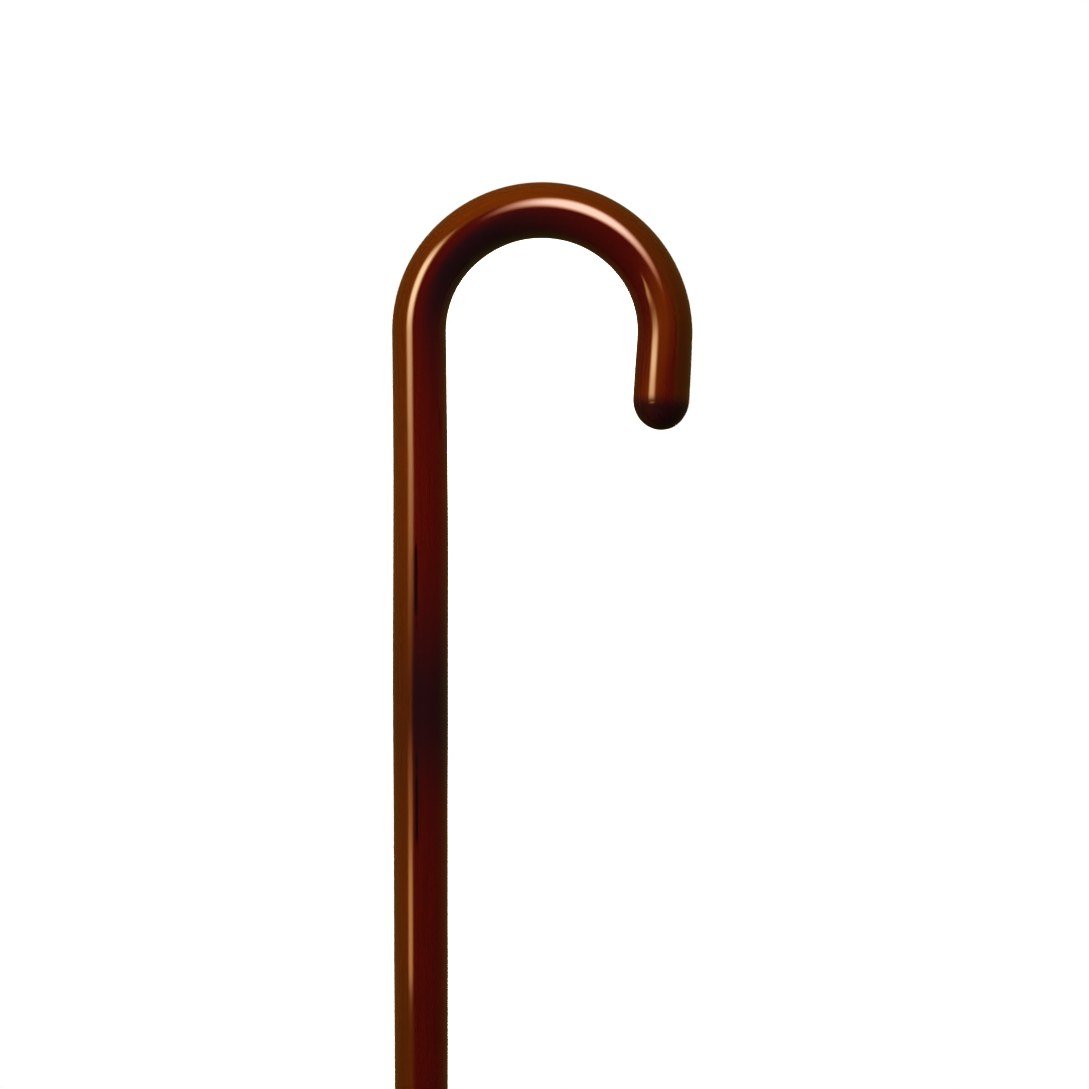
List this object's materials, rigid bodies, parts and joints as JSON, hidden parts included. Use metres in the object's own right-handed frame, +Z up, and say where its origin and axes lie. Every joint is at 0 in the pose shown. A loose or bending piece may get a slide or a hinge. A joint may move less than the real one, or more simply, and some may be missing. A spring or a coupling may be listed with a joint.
{
  "type": "walking cane",
  "caption": "Wooden walking cane with a round crook handle and a push-on rubber ferrule; it steadies a standing person and hangs by its crook.",
  "frame": {"origin": "centre of the ferrule's foot, on the shaft's axis, where the cane meets the floor", "axes": "+Z up along the shaft, +X the way the crook opens, +Y square to the crook's plane"},
  "size_m": [0.1459, 0.038, 0.9144],
  "materials": {
    "lacquered_wood": "dark mahogany stain under a high gloss lacquer",
    "black_rubber": "moulded, matt",
    "plated_steel": "zinc plated"
  },
  "bodies": {
    "stick": {"stick": "lacquered_wood"},
    "ferrule": {"ferrule": "black_rubber", "ferrule_washer": "plated_steel"}
  },
  "joints": [
    {"name": "ferrule_pull", "type": "slide", "parent": "stick", "child": "ferrule", "axis": [0, 0, -1], "range_m": [0, 0.034]}
  ]
}
